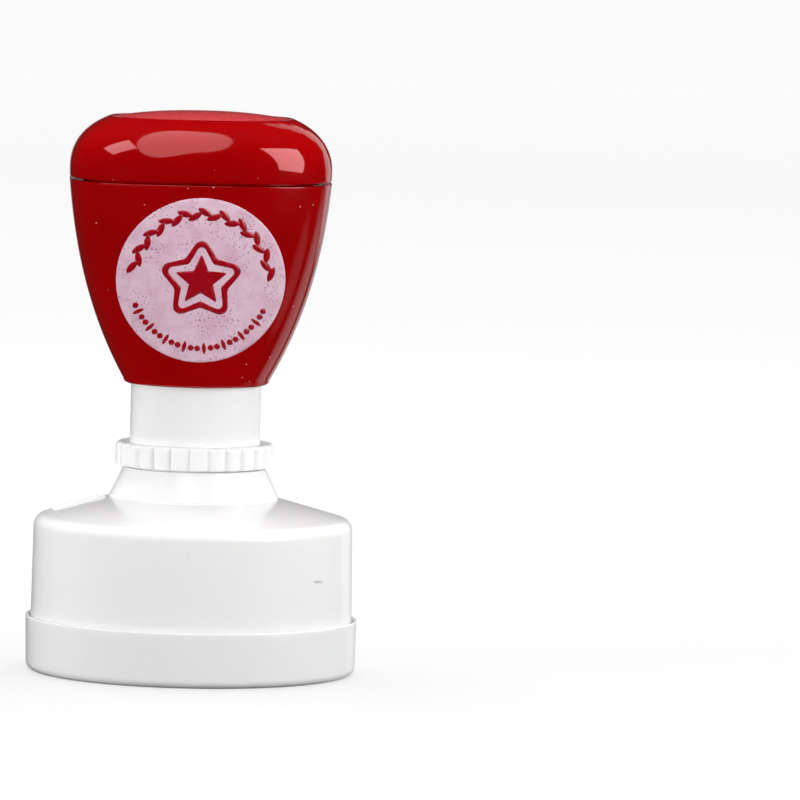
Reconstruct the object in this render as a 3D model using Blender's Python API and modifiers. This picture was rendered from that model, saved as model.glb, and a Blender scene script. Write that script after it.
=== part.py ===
"""Pre-inked hand stamp with a round die, built from its separate mouldings.

A red palm handle with a pull-off cap slides down over a white neck sleeve against a return
spring, and carries the ink pad and the die on a central post. The sleeve is screwed into the
bell-shaped housing and is turned by its knurled ring, which raises or lowers the whole
plunger by a fraction of a millimetre at a time. A dust cover closes the mouth of the housing.

The stamp stands on its dust cover with +Z up, the label faces -Y, and the origin is the
centre of the cover's underside. Sizes are in millimetres, and the helpers convert them to
Blender's metres.
"""

import math

import bmesh
import bpy
from mathutils import Matrix, Vector

MM = 0.001
GAP = 0.3  # clearance between neighbouring mouldings
SEGMENTS = 48  # facets round the large turned pieces
FINE_SEGMENTS = 24  # facets round the screw and the washers

# Dust cover
COVER_RADIUS = 26.0
COVER_HEIGHT = 8.6
COVER_FLOOR = 1.2
COVER_EDGE = 1.3  # fillet round the underside
COVER_DRAFT = 0.15
LEDGE_TOP = 2.2  # step inside the cover that the housing stands on
LEDGE_RADIUS = 22.4

# Outer housing
MOUTH_Z = LEDGE_TOP + GAP
SKIRT_RADIUS = 25.2  # at the dust cover's rim
SKIRT_TOP_RADIUS = 25.0
SPIGOT_RADIUS = 24.8  # the band that the dust cover grips
SKIRT_WALL = 1.4
SHOULDER_SLOPE = 0.28
SHOULDER_FILLET = 2.0
CONE_BASE_RADIUS = 13.2
CONE_BASE_Z = 27.35
CONE_TOP_RADIUS = 11.1
CONE_TOP_Z = 32.2
GUIDE_RIB_RADIUS = 22.8  # inner edge of the three ribs that keep the plunger from turning
GUIDE_RIB_WIDTH = 1.6
GUIDE_RIBS = 3

# Neck sleeve and its thread
SLEEVE_RADIUS = 10.2
SLEEVE_BORE = 8.9
SLEEVE_BOTTOM = 25.0
SLEEVE_TOP = 57.0
SEAT_BORE = 6.0  # hole through the spring seat at the sleeve's lower end
SEAT_TOP = 26.8
THREAD_PITCH = 3.0
THREAD_DEPTH = 0.5
THREAD_CLEARANCE = 0.27
THREAD_STEP = 0.5  # height between the rings of points that draw the thread

# Adjusting ring
RING_BOTTOM = 32.5
RING_TOP = 36.1
RING_RADIUS = 12.45
RING_LOBES = 26
POINTS_PER_LOBE = 4
RING_LOBE_DEPTH = 0.55
RING_TURN = math.radians(8.4)

# Handle
HANDLE_BOTTOM = 45.4
HANDLE_TOP = 77.3
HANDLE_HALF_WIDTH = 20.5
HANDLE_HALF_DEPTH = 17.2
HANDLE_FOOT_RADIUS = 11.1
WIDTH_TAPER = (0.30, 0.44, 0.26)  # shares that go with the drop, its square and its cube
DEPTH_TAPER = (0.16, 0.84, 0.0)
HANDLE_WALL = 1.8
HANDLE_FOOT_FILLET = 0.6
DECK_BOTTOM = 66.5
DECK_TOP = 68.5
BOSS_TOP = 69.5
BOSS_RADIUS = 4.6
WASHER_THICKNESS = 0.7

# Handle cap
CAP_BOTTOM = 77.65
CAP_WIDEST_Z = 79.0
CAP_CROWN = 9.8  # height of the dome's full curve above its widest level
CAP_RISE_CURVE = 2.2  # exponents of the dome's curve, upwards and inwards
CAP_SIDE_CURVE = 3.0
CAP_TOP = 87.1
CAP_TONGUE_BOTTOM = 74.4
CAP_CEILING = 84.2
WINDOW_RECESS_Z = 85.95
WINDOW_HALF_WIDTH = 13.7
WINDOW_HALF_DEPTH = 9.95
WINDOW_TOP = 88.1

# Label on the front of the handle
LABEL_CENTRE_Z = 62.5
LABEL_RADIUS = 13.15
LABEL_TILT = math.radians(11)  # the handle's front leans out this much behind the label
LABEL_THICKNESS = 0.2
LABEL_STAND_OFF = 0.22

# Plunger post, die holder and what it holds
POST_RADIUS = 5.7
POST_TOP = DECK_BOTTOM - GAP
PILOT_RADIUS = 1.6
PLATE_TOP = 21.2
PLATE_BOTTOM = 19.6
PLATE_RADIUS = 23.1
HOLDER_RADIUS = 21.6
HOLDER_BORE = 20.6
HOLDER_BOTTOM = 13.5
HUB_RADIUS = 9.5
DIE_RADIUS = 19.8
DIE_FLANGE_RADIUS = 21.3
DIE_FACE = 11.3
RELIEF = 0.3

# Return spring
SPRING_RADIUS = 7.3
WIRE_RADIUS = 0.5
SPRING_TURNS = 8
SPRING_POINTS_PER_TURN = 14

RED = (0.45, 0.004, 0.008)
WHITE = (0.86, 0.86, 0.87)
STEEL = (0.62, 0.62, 0.63)

parts = bpy.data.collections.new("rubber_stamp")
cutters = bpy.data.collections.new("cutters")


# ---------------------------------------------------------------- helpers


def clear_scene():
    for obj in list(bpy.data.objects):
        bpy.data.objects.remove(obj)


def material(name, colour, roughness=0.4, metallic=0.0, alpha=1.0):
    made = bpy.data.materials.new(name)
    made.use_nodes = True
    shader = made.node_tree.nodes["Principled BSDF"]
    shader.inputs["Base Color"].default_value = (*colour, 1.0)
    shader.inputs["Roughness"].default_value = roughness
    shader.inputs["Metallic"].default_value = metallic
    shader.inputs["Alpha"].default_value = alpha
    return made


def add_object(name, data, collection, finish=None):
    obj = bpy.data.objects.new(name, data)
    collection.objects.link(obj)
    if finish:
        data.materials.append(finish)
    return obj


def shade_round(mesh):
    mesh.shade_smooth()
    mesh.set_sharp_from_angle(angle=math.radians(30))


def arc(centre_r, centre_z, radius, start, end, steps=5):
    """Profile points (r, z) along an arc, with its angles in degrees from +r towards +z."""
    angles = [math.radians(start + (end - start) * i / steps) for i in range(steps + 1)]
    return [(centre_r + radius * math.cos(a), centre_z + radius * math.sin(a)) for a in angles]


def turned(name, profile, finish, closed=False, segments=SEGMENTS, collection=parts):
    """A profile of (r, z) points swept round Z. It runs down its outer side."""
    points = [Vector((r * MM, 0, z * MM)) for r, z in profile]
    edges = [(i, i + 1) for i in range(len(points) - 1)]
    if closed:
        edges.append((len(points) - 1, 0))
    mesh = bpy.data.meshes.new(name)
    mesh.from_pydata(points, edges, [])
    obj = add_object(name, mesh, collection, finish)
    screw = obj.modifiers.new("Turn", "SCREW")
    screw.axis = "Z"
    screw.angle = math.tau
    screw.steps = screw.render_steps = segments
    screw.use_merge_vertices = True
    screw.merge_threshold = 0.00001
    screw.use_smooth_shade = True
    return obj


def lofted(name, levels, finish, closed=True, segments=SEGMENTS):
    """A skin through rings of points. A level is (radius of an angle, height).

    A closed loft joins its last ring to its first, as in a tube. An open one ends in flat
    caps. The levels run down the outer side of the piece.
    """
    form = bmesh.new()
    rings = []
    for radius_at, z in levels:
        ring = []
        for i in range(segments):
            angle = math.tau * i / segments
            r = radius_at(angle)
            ring.append(form.verts.new((r * math.cos(angle) * MM, r * math.sin(angle) * MM, z * MM)))
        rings.append(ring)
    pairs = list(zip(rings, rings[1:]))
    if closed:
        pairs.append((rings[-1], rings[0]))
    for upper, lower in pairs:
        for i in range(segments):
            j = (i + 1) % segments
            form.faces.new((upper[i], lower[i], lower[j], upper[j]))
    if not closed:
        form.faces.new(rings[0])
        form.faces.new(reversed(rings[-1]))
    mesh = bpy.data.meshes.new(name)
    form.to_mesh(mesh)
    form.free()
    shade_round(mesh)
    return add_object(name, mesh, parts, finish)


def box(name, size, centre, turn=0.0, tilt=0.0):
    """A cutter or joining block: its size, its centre, a turn about Z and a tilt about Y."""
    form = bmesh.new()
    bmesh.ops.create_cube(form, size=1.0)
    bmesh.ops.scale(form, vec=Vector(size) * MM, verts=form.verts)
    bmesh.ops.rotate(form, matrix=Matrix.Rotation(tilt, 3, "Y"), verts=form.verts)
    bmesh.ops.translate(form, vec=Vector(centre) * MM, verts=form.verts)
    bmesh.ops.rotate(form, matrix=Matrix.Rotation(turn, 3, "Z"), verts=form.verts)
    mesh = bpy.data.meshes.new(name)
    form.to_mesh(mesh)
    form.free()
    return hidden(add_object(name, mesh, cutters))


def hidden(obj):
    obj.hide_render = True
    obj.display_type = "WIRE"
    return obj


def combine(obj, other, operation):
    joined = obj.modifiers.new(operation.title(), "BOOLEAN")
    joined.operation = operation
    joined.object = other


def circle(radius):
    return lambda angle: radius


def oval(half_width, half_depth, exponent=2.0):
    """Polar radius of a superellipse: 2 is an ellipse, and more is squarer."""

    def radius_at(angle):
        across = abs(math.cos(angle) / half_width) ** exponent
        along = abs(math.sin(angle) / half_depth) ** exponent
        return (across + along) ** (-1 / exponent)

    return radius_at


# ---------------------------------------------------------------- thread


def thread_radius(crest, z):
    """Polar radius of a right-hand thread at a height: THREAD_DEPTH deep, wavy in section."""

    def radius_at(angle):
        phase = math.tau * z / THREAD_PITCH - angle
        return crest - THREAD_DEPTH * (0.5 - 0.5 * math.cos(phase))

    return radius_at


def thread_levels(crest, top, bottom):
    count = round((top - bottom) / THREAD_STEP)
    heights = [top + (bottom - top) * i / count for i in range(count + 1)]
    return [(thread_radius(crest, z), z) for z in heights]


# ---------------------------------------------------------------- cover and housing


def make_dust_cover():
    wall_inside = 25.1
    lip_inside = 25.5
    foot = COVER_RADIUS - COVER_DRAFT
    profile = [
        (0, COVER_FLOOR),
        (LEDGE_RADIUS, COVER_FLOOR),
        (LEDGE_RADIUS, LEDGE_TOP),
        (wall_inside, LEDGE_TOP),
        (wall_inside, COVER_HEIGHT - 1.4),
        (lip_inside, COVER_HEIGHT - 0.7),
        (lip_inside, COVER_HEIGHT - 0.1),
        (lip_inside + 0.1, COVER_HEIGHT),
        (COVER_RADIUS - 0.15, COVER_HEIGHT),
        (COVER_RADIUS, COVER_HEIGHT - 0.2),
        *arc(foot - COVER_EDGE, COVER_EDGE, COVER_EDGE, 0, -90),
        (0, 0),
    ]
    turned("dust_cover", profile, cover_white)


def shoulder_z(radius):
    return CONE_BASE_Z - SHOULDER_SLOPE * (radius - CONE_BASE_RADIUS - 0.3)


def shoulder_fillet():
    """Arc that joins the sloping shoulder to the skirt."""
    slope = math.atan(SHOULDER_SLOPE)
    corner_z = shoulder_z(SKIRT_TOP_RADIUS)
    reach = SHOULDER_FILLET * math.tan((math.pi / 2 - slope) / 2)
    centre = (SKIRT_TOP_RADIUS - SHOULDER_FILLET, corner_z - reach)
    return arc(*centre, SHOULDER_FILLET, 90 - math.degrees(slope), 0, 5)


def make_outer_housing():
    """Bell with a threaded cone on top, open at the bottom, with guide ribs down its inside."""
    roof_drop = SKIRT_WALL * math.hypot(1, SHOULDER_SLOPE)
    bore = SLEEVE_RADIUS + THREAD_CLEARANCE
    inside = SKIRT_TOP_RADIUS - SKIRT_WALL - 0.1
    outer = [
        (bore + 0.05, CONE_TOP_Z),
        (CONE_TOP_RADIUS, CONE_TOP_Z),
        (CONE_BASE_RADIUS, CONE_BASE_Z + 0.4),
        (CONE_BASE_RADIUS, CONE_BASE_Z),
        (CONE_BASE_RADIUS + 0.3, shoulder_z(CONE_BASE_RADIUS + 0.3)),
        *shoulder_fillet(),
        (SKIRT_RADIUS, COVER_HEIGHT - 0.2),
        (SPIGOT_RADIUS, COVER_HEIGHT - 0.9),
        (SPIGOT_RADIUS, MOUTH_Z + 0.3),
        (SPIGOT_RADIUS - 0.3, MOUTH_Z),
        (inside + 0.1, MOUTH_Z),
    ]
    inner = [
        (inside, shoulder_z(inside) - roof_drop),
        (bore + 0.9, shoulder_z(bore + 0.9) - roof_drop),
    ]
    levels = [(circle(r), z) for r, z in outer + inner]
    levels += reversed(thread_levels(bore, 30.6, 26.6))
    levels.append((circle(bore + 0.05), 31.1))
    housing = lofted("outer_housing", levels, white)
    for i in range(GUIDE_RIBS):
        turn = math.radians(90) + math.tau * i / GUIDE_RIBS
        middle = (GUIDE_RIB_RADIUS + inside + 0.5) / 2
        size = (inside + 0.5 - GUIDE_RIB_RADIUS, GUIDE_RIB_WIDTH, 17.5)
        combine(housing, box(f"guide_rib_{i}", size, (middle, 0, 13.0), turn), "UNION")
    combine(housing, orientation_mark(), "UNION")


def orientation_mark():
    """Low rib down the left of the shoulder, which shows which way round the print lies."""
    inner, outer = 13.6, 22.2
    middle = (inner + outer) / 2
    size = (outer - inner, 1.4, 1.2)
    centre = (middle, 0, shoulder_z(middle) - 0.2)
    return box("orientation_mark", size, centre, math.radians(176), math.atan(SHOULDER_SLOPE))


# ---------------------------------------------------------------- neck sleeve and ring


def make_neck_sleeve():
    """Smooth tube that the handle slides on, threaded at its foot, with a spring seat inside."""
    outer = [(circle(SLEEVE_BORE + 0.3), SLEEVE_TOP), (circle(SLEEVE_RADIUS - 0.4), SLEEVE_TOP)]
    outer += [(circle(SLEEVE_RADIUS), SLEEVE_TOP - 0.4), (circle(SLEEVE_RADIUS), 31.9)]
    outer += thread_levels(SLEEVE_RADIUS, 31.4, SLEEVE_BOTTOM + 0.4)
    outer.append((circle(SLEEVE_RADIUS - THREAD_DEPTH - 0.1), SLEEVE_BOTTOM))
    inner = [
        (SEAT_BORE, SLEEVE_BOTTOM),
        (SEAT_BORE, SEAT_TOP),
        (SLEEVE_BORE, SEAT_TOP),
        (SLEEVE_BORE, SLEEVE_TOP - 0.3),
    ]
    lofted("neck_sleeve", outer + [(circle(r), z) for r, z in inner], white)


def lobed(radius, depth):
    """Rounded lobes with sharp grooves between them."""

    def radius_at(angle):
        wave = abs(math.cos(RING_LOBES * angle / 2))
        return radius - depth * (1 - wave) ** 1.4

    return radius_at


def make_adjusting_ring():
    bore = SLEEVE_RADIUS + GAP
    levels = [
        (circle(bore + 0.3), RING_TOP),
        (circle(RING_RADIUS - 0.75), RING_TOP),
        (lobed(RING_RADIUS - 0.3, RING_LOBE_DEPTH / 2), RING_TOP - 0.2),
        (lobed(RING_RADIUS, RING_LOBE_DEPTH), RING_TOP - 0.6),
        (lobed(RING_RADIUS, RING_LOBE_DEPTH), RING_BOTTOM + 0.2),
        (lobed(RING_RADIUS - 0.2, RING_LOBE_DEPTH), RING_BOTTOM),
        (circle(bore), RING_BOTTOM),
        (circle(bore), RING_TOP - 0.3),
    ]
    ring = lofted("adjusting_ring", levels, white, segments=RING_LOBES * POINTS_PER_LOBE)
    ring.rotation_euler.z = RING_TURN


# ---------------------------------------------------------------- spring


def make_spring_washer():
    bottom = SEAT_TOP + GAP
    top = bottom + WASHER_THICKNESS
    profile = [(8.6, top), (8.6, bottom), (SEAT_BORE + 0.1, bottom), (SEAT_BORE + 0.1, top)]
    turned("spring_washer", profile, steel, closed=True, segments=FINE_SEGMENTS)


def make_return_spring():
    """Compression spring round the post, from the washer to the underside of the deck."""
    low = SEAT_TOP + GAP + WASHER_THICKNESS + GAP + WIRE_RADIUS
    high = DECK_BOTTOM - GAP - WIRE_RADIUS
    curve = bpy.data.curves.new("return_spring", "CURVE")
    curve.dimensions = "3D"
    curve.bevel_depth = WIRE_RADIUS * MM
    curve.bevel_resolution = 2
    curve.use_fill_caps = True
    curve.materials.append(steel)
    count = SPRING_TURNS * SPRING_POINTS_PER_TURN
    wire = curve.splines.new("POLY")
    wire.points.add(count)
    pitch_share = 2 * WIRE_RADIUS / (high - low)  # closed end turns rise one wire each
    for i in range(count + 1):
        turn = i / SPRING_POINTS_PER_TURN
        if turn < 1:
            share = pitch_share * turn
        elif turn > SPRING_TURNS - 1:
            share = 1 - pitch_share * (SPRING_TURNS - turn)
        else:
            share = pitch_share + (1 - 2 * pitch_share) * (turn - 1) / (SPRING_TURNS - 2)
        angle = math.tau * turn
        x, y = SPRING_RADIUS * math.cos(angle), SPRING_RADIUS * math.sin(angle)
        wire.points[i].co = (x * MM, y * MM, (low + share * (high - low)) * MM, 1)
    add_object("return_spring", curve, parts)


# ---------------------------------------------------------------- handle


def tapered(size, taper, share):
    """A half width or half depth that shrinks to the foot's radius on the way down."""
    fall = sum(part * share ** (i + 1) for i, part in enumerate(taper))
    return size - (size - HANDLE_FOOT_RADIUS) * fall


def handle_size(z, inset=0.0):
    """Half width, half depth and squareness of the handle: squarish above, round at the foot."""
    share = (HANDLE_TOP - z) / (HANDLE_TOP - HANDLE_BOTTOM)
    half_width = tapered(HANDLE_HALF_WIDTH, WIDTH_TAPER, share)
    half_depth = tapered(HANDLE_HALF_DEPTH, DEPTH_TAPER, share)
    return half_width - inset, half_depth - inset, 3.0 - share**2


def handle_section(z, inset=0.0):
    return oval(*handle_size(z, inset))


def make_handle_shell():
    """Tapering shell with a deck inside that carries the post, the spring and the screw."""
    guide_bore = SLEEVE_RADIUS + GAP
    guide_top = 50.0
    rim = HANDLE_TOP - 0.15
    levels = [(handle_section(HANDLE_TOP, HANDLE_WALL - 0.1), HANDLE_TOP)]
    levels.append((handle_section(HANDLE_TOP, 0.15), HANDLE_TOP))
    count = 12
    foot = HANDLE_BOTTOM + HANDLE_FOOT_FILLET
    for i in range(count + 1):
        z = rim + (foot - rim) * i / count
        levels.append((handle_section(z), z))
    for i in (1, 2, 3):
        turn = math.radians(30 * i)
        z = foot - HANDLE_FOOT_FILLET * math.sin(turn)
        inset = HANDLE_FOOT_FILLET * 0.9 * (1 - math.cos(turn))
        levels.append((handle_section(foot, inset), z))
    levels.append((circle(guide_bore), HANDLE_BOTTOM))
    levels.append((circle(guide_bore), guide_top))
    for z in (guide_top + 2.0, 56.0, 61.0, DECK_BOTTOM):
        levels.append((handle_section(z, HANDLE_WALL), z))
    hole = [
        (PILOT_RADIUS, DECK_BOTTOM),
        (PILOT_RADIUS, BOSS_TOP),
        (BOSS_RADIUS, BOSS_TOP),
        (BOSS_RADIUS, DECK_TOP),
    ]
    levels += [(circle(r), z) for r, z in hole]
    levels += [(handle_section(z, HANDLE_WALL), z) for z in (DECK_TOP, 73.0)]
    shell = lofted("handle_shell", levels, red)
    reach = 17.6
    for i in range(4):
        turn = math.radians(45 + 90 * i)
        size = (reach - BOSS_RADIUS + 0.4, 1.4, 3.0)
        middle = ((reach + BOSS_RADIUS - 0.4) / 2, 0, DECK_TOP + 1.0)
        combine(shell, box(f"deck_rib_{i}", size, middle, turn), "UNION")


def make_front_label():
    """Round label that follows the curve of the handle's front."""
    rings, spokes = 5, 40

    def surface_point(x, z, lift):
        half_width, half_depth, exponent = handle_size(z)
        y = -half_depth * (1 - abs(x / half_width) ** exponent) ** (1 / exponent)
        return Vector((x, y - lift, z)) * MM

    form = bmesh.new()
    sides = []
    for lift in (LABEL_STAND_OFF, LABEL_STAND_OFF + LABEL_THICKNESS):
        centre = form.verts.new(surface_point(0, LABEL_CENTRE_Z, lift))
        circles = []
        for i in range(1, rings + 1):
            rho = LABEL_RADIUS * i / rings
            ring = []
            for k in range(spokes):
                angle = math.tau * k / spokes
                z = LABEL_CENTRE_Z + rho * math.sin(angle) * math.cos(LABEL_TILT)
                ring.append(form.verts.new(surface_point(rho * math.cos(angle), z, lift)))
            circles.append(ring)
        sides.append((centre, circles))
    for outward, (centre, circles) in enumerate(sides):
        for k in range(spokes):
            j = (k + 1) % spokes
            faces = [(centre, circles[0][k], circles[0][j])]
            for near, far in zip(circles, circles[1:]):
                faces.append((near[k], far[k], far[j], near[j]))
            for face in faces:
                form.faces.new(face if outward else face[::-1])
    back, front = sides[0][1][-1], sides[1][1][-1]
    for k in range(spokes):
        j = (k + 1) % spokes
        form.faces.new((back[k], back[j], front[j], front[k]))
    mesh = bpy.data.meshes.new("front_label")
    form.to_mesh(mesh)
    form.free()
    shade_round(mesh)
    add_object("front_label", mesh, parts, label_pink)


def make_screw_washer():
    bottom = BOSS_TOP + GAP
    top = bottom + WASHER_THICKNESS
    profile = [(3.8, top), (3.8, bottom), (PILOT_RADIUS, bottom), (PILOT_RADIUS, top)]
    turned("screw_washer", profile, steel, closed=True, segments=FINE_SEGMENTS)


def make_handle_screw():
    """Pan-head screw that holds the handle on the post."""
    seat = BOSS_TOP + GAP + WASHER_THICKNESS + GAP
    profile = [
        (0, seat + 2.0),
        *arc(1.6, seat + 0.6, 1.4, 90, 0, 4),
        (3.0, seat),
        (1.3, seat),
        (1.3, seat - 11.0),
        (0, seat - 12.3),
    ]
    screw = turned("handle_screw", profile, steel, segments=FINE_SEGMENTS)
    for i in range(2):
        slot = box(f"screw_slot_{i}", (3.4, 0.7, 2.0), (0, 0, seat + 2.0), math.radians(90 * i))
        combine(screw, slot, "DIFFERENCE")


# ---------------------------------------------------------------- cap, card and window


def cap_section(z, inset=0.0):
    """Polar radius of the cap at a height. The dome draws in equally on all sides."""
    rise = max(z - CAP_WIDEST_Z, 0) / CAP_CROWN
    inset += HANDLE_HALF_WIDTH * (1 - (1 - rise**CAP_RISE_CURVE) ** (1 / CAP_SIDE_CURVE))
    half_width = HANDLE_HALF_WIDTH - inset
    half_depth = HANDLE_HALF_DEPTH - inset
    return oval(half_width, half_depth, 3.0 - 0.8 * rise**2)


def make_handle_cap():
    """Domed cap with a tongue that plugs into the handle and an oval recess on top."""
    recess = oval(WINDOW_HALF_WIDTH + 0.25, WINDOW_HALF_DEPTH + 0.25)
    levels = [(recess, WINDOW_RECESS_Z), (recess, CAP_TOP - 0.05)]
    for z in (CAP_TOP, 86.5, 85.8, 84.8, 83.6, 82.2, 80.6, CAP_WIDEST_Z, CAP_BOTTOM + 0.15):
        levels.append((cap_section(z), z))
    tongue_out, tongue_in = HANDLE_WALL + GAP, HANDLE_WALL + GAP + 1.0
    levels += [
        (cap_section(CAP_BOTTOM, 0.15), CAP_BOTTOM),
        (cap_section(CAP_BOTTOM, tongue_out - 1.1), CAP_BOTTOM),
        (cap_section(CAP_BOTTOM, tongue_out - 1.1), CAP_BOTTOM + 0.3),
        (handle_section(HANDLE_TOP, tongue_out), CAP_BOTTOM + 0.3),
        (handle_section(CAP_TONGUE_BOTTOM, tongue_out), CAP_TONGUE_BOTTOM),
        (handle_section(CAP_TONGUE_BOTTOM, tongue_in), CAP_TONGUE_BOTTOM),
        (cap_section(81.0, tongue_in), 81.0),
        (cap_section(84.2, tongue_in), CAP_CEILING - 1.0),
        (cap_section(85.6, tongue_in), CAP_CEILING),
    ]
    lofted("handle_cap", levels, red, closed=False)


def make_index_card():
    card = oval(WINDOW_HALF_WIDTH - 0.1, WINDOW_HALF_DEPTH - 0.1)
    top = WINDOW_RECESS_Z + 0.45
    lofted("index_card", [(card, top), (card, top - 0.25)], label_pink, closed=False)


def make_index_window():
    """Clear oval lens, slightly domed, over the index card."""
    bottom = WINDOW_RECESS_Z + 0.75
    edge_top = CAP_TOP - 0.1
    levels = []
    flat = 0.15  # share of the dome that is level
    for share in (flat, 0.4, 0.6, 0.78, 0.92, 1.0):
        fall = (share**2 - flat**2) / (1 - flat**2)
        z = WINDOW_TOP - (WINDOW_TOP - edge_top) * fall
        levels.append((oval(WINDOW_HALF_WIDTH * share, WINDOW_HALF_DEPTH * share), z))
    levels.append((oval(WINDOW_HALF_WIDTH, WINDOW_HALF_DEPTH), bottom))
    lofted("index_window", levels, clear, closed=False)


# ---------------------------------------------------------------- die holder


def make_die_carrier():
    """Central post with the plate and cup that hold the ink pad and the die."""
    profile = [
        (0, 55.0),
        (PILOT_RADIUS, 55.0),
        (PILOT_RADIUS, POST_TOP),
        (POST_RADIUS - 0.3, POST_TOP),
        (POST_RADIUS, POST_TOP - 0.3),
        (POST_RADIUS, SLEEVE_BOTTOM - GAP),
        (HUB_RADIUS, SLEEVE_BOTTOM - GAP),
        (HUB_RADIUS + 0.5, PLATE_TOP),
        (PLATE_RADIUS, PLATE_TOP),
        (PLATE_RADIUS, PLATE_BOTTOM),
        (HOLDER_RADIUS, PLATE_BOTTOM),
        (HOLDER_RADIUS, HOLDER_BOTTOM),
        (HOLDER_BORE, HOLDER_BOTTOM),
        (HOLDER_BORE, PLATE_BOTTOM),
        (4.2, PLATE_BOTTOM),
        (4.2, 52.0),
        (0, 52.0),
    ]
    carrier = turned("die_carrier", profile, white)
    for i in range(GUIDE_RIBS):
        turn = math.radians(90) + math.tau * i / GUIDE_RIBS
        size = (2.0, GUIDE_RIB_WIDTH + 2 * GAP, 3.0)
        notch = box(f"rib_notch_{i}", size, (GUIDE_RIB_RADIUS - GAP + 1.0, 0, 20.4), turn)
        combine(carrier, notch, "DIFFERENCE")
    for side in (-1, 1):
        port = turned(
            f"ink_port_{side}",
            [(0, PLATE_TOP + 1), (1.1, PLATE_TOP + 1), (1.1, PLATE_BOTTOM - 1), (0, PLATE_BOTTOM - 1)],
            None,
            segments=FINE_SEGMENTS // 2,
            collection=cutters,
        )
        port.location.x = side * 15 * MM
        combine(carrier, hidden(port), "DIFFERENCE")


def make_ink_pad():
    top, bottom = PLATE_BOTTOM - GAP, HOLDER_BOTTOM
    radius = HOLDER_BORE - GAP
    profile = [(0, top), (radius, top), (radius, bottom), (0, bottom)]
    turned("ink_pad", profile, ink_red)


def star_outline(outer, waist, turn=math.pi / 2):
    """Corners of a five-pointed star."""
    corners = []
    for i in range(10):
        radius = waist if i % 2 else outer
        angle = turn + math.tau * i / 10
        corners.append((radius * math.cos(angle), radius * math.sin(angle)))
    return corners


def prism(name, outline, bottom, top):
    """A flat outline raised into a block, for joining to the die."""
    form = bmesh.new()
    base = form.faces.new([form.verts.new((x * MM, y * MM, bottom * MM)) for x, y in outline])
    raised = bmesh.ops.extrude_face_region(form, geom=[base])["geom"]
    lifted = [g for g in raised if isinstance(g, bmesh.types.BMVert)]
    bmesh.ops.translate(form, vec=(0, 0, (top - bottom) * MM), verts=lifted)
    bmesh.ops.recalc_face_normals(form, faces=form.faces)
    mesh = bpy.data.meshes.new(name)
    form.to_mesh(mesh)
    form.free()
    return hidden(add_object(name, mesh, cutters))


def make_stamp_die():
    """Porous rubber disc whose raised star and rays print a plain reward mark."""
    profile = [
        (0, DIE_FACE + 1.9),
        (DIE_FLANGE_RADIUS, DIE_FACE + 1.9),
        (DIE_FLANGE_RADIUS, DIE_FACE + 1.1),
        (DIE_RADIUS, DIE_FACE + 1.1),
        (DIE_RADIUS, DIE_FACE),
        (0, DIE_FACE),
    ]
    die = turned("stamp_die", profile, die_pink)
    low, high = DIE_FACE - RELIEF, DIE_FACE + 0.3
    star = prism("star_relief", star_outline(12.0, 5.4), low, high)
    hollow = prism("star_hollow", star_outline(10.2, 4.5), low - 1, high + 1)
    combine(star, hollow, "DIFFERENCE")
    combine(die, star, "UNION")
    for i in range(10):
        turn = math.pi / 2 + math.tau * (i + 0.5) / 10
        ray = box(f"ray_{i}", (3.4, 0.9, high - low), (14.6, 0, (low + high) / 2), turn)
        combine(die, ray, "UNION")


def make_die_retaining_ring():
    """Ring that clips over the die holder and grips the die by its flange."""
    lip = DIE_RADIUS + GAP
    inner = HOLDER_RADIUS + GAP
    profile = [
        (22.5, 17.0),
        (22.5, 11.9),
        (22.1, 11.5),
        (lip, 11.5),
        (lip, 12.1),
        (inner, 12.1),
        (inner, 17.0),
    ]
    turned("die_retaining_ring", profile, white, closed=True)


# ---------------------------------------------------------------- build

clear_scene()
bpy.context.scene.collection.children.link(parts)
bpy.context.scene.collection.children.link(cutters)
cutters.hide_render = True

red = material("gloss_red", RED, 0.12)
white = material("white_plastic", WHITE, 0.3)
cover_white = material("cover_white", WHITE, 0.35)
clear = material("clear_plastic", (0.95, 0.95, 0.95), 0.03, alpha=0.25)
label_pink = material("label_print", (0.74, 0.62, 0.70), 0.55)
ink_red = material("ink_felt", (0.35, 0.01, 0.03), 0.9)
die_pink = material("die_rubber", (0.55, 0.05, 0.09), 0.7)
steel = material("spring_steel", STEEL, 0.25, 1.0)

make_dust_cover()
make_outer_housing()
make_neck_sleeve()
make_adjusting_ring()
make_spring_washer()
make_return_spring()
make_handle_shell()
make_front_label()
make_screw_washer()
make_handle_screw()
make_handle_cap()
make_index_card()
make_index_window()
make_die_carrier()
make_ink_pad()
make_stamp_die()
make_die_retaining_ring()
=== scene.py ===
"""Looks of the pre-inked hand stamp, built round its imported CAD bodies.

Each visible moulding gets a fine skin with rounded edges that stands for its CAD node. The
sizes are the CAD's own, in millimetres, and the helpers convert them to metres.
"""

import math

import bmesh
import bpy
from mathutils import Matrix, Quaternion, Vector


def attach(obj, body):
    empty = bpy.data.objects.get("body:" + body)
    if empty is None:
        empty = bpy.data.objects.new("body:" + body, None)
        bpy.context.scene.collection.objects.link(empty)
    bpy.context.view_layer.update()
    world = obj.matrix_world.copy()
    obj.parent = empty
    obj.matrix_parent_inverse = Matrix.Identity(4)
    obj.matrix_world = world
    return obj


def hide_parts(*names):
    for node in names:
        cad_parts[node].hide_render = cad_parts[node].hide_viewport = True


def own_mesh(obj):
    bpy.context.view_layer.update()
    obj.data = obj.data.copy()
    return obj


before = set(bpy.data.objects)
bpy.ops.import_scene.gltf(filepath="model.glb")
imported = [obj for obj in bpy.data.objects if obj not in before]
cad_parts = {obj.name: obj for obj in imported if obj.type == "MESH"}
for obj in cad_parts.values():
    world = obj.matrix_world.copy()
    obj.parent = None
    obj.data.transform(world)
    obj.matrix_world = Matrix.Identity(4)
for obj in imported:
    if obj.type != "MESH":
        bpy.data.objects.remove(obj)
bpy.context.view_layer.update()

MM = 0.001
GAP = 0.3
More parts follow.
